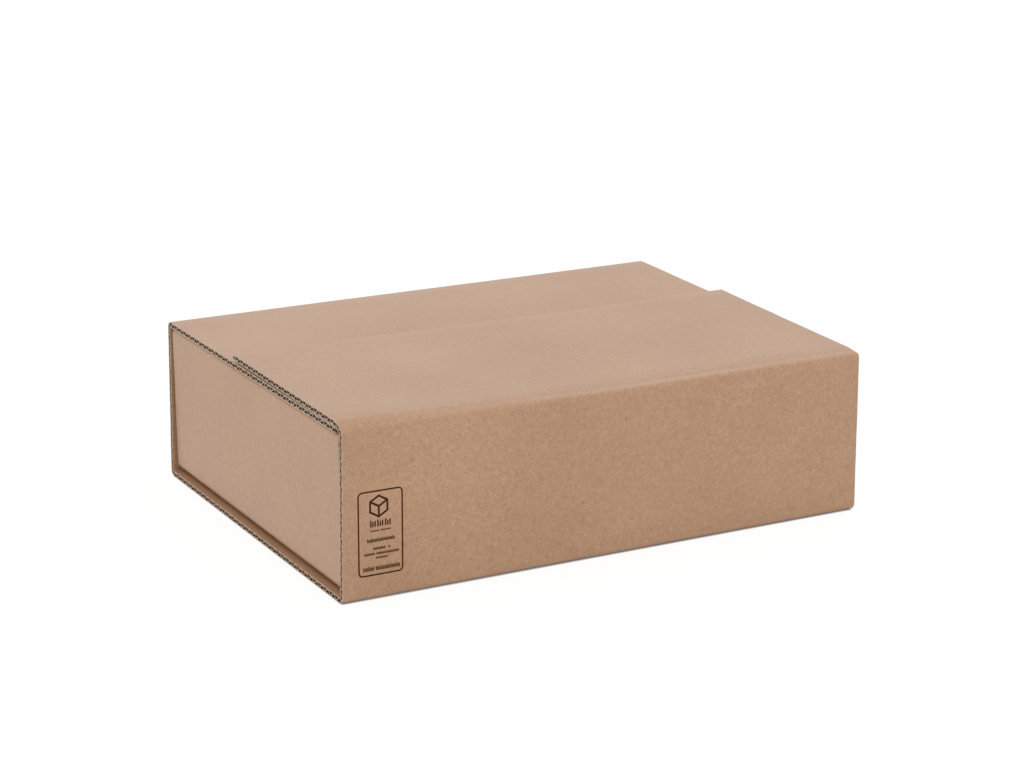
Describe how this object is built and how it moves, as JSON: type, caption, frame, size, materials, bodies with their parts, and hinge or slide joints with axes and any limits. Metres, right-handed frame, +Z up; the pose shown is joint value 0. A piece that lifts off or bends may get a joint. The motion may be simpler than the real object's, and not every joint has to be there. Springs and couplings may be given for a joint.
{
  "type": "cardboard box",
  "caption": "Closed wrap-style corrugated mailer: an outer strip folded round with its flap stuck down on top, crossed by an inner strip whose end walls close the fluted ends.",
  "frame": {"origin": "centre of the footprint on the surface the box stands on", "axes": "+X along the long side, +Y from the front wall to the back wall, +Z up"},
  "size_m": [0.3, 0.225, 0.0922],
  "materials": {
    "wrap_board": "brown kraft liner, matt",
    "cradle_board": "brown kraft liner, matt",
    "adhesive": "amber hot-melt adhesive"
  },
  "bodies": {
    "root": {"outer_wrap": "wrap_board", "inner_cradle": "cradle_board", "flap_adhesive_strip": "adhesive"}
  },
  "joints": []
}
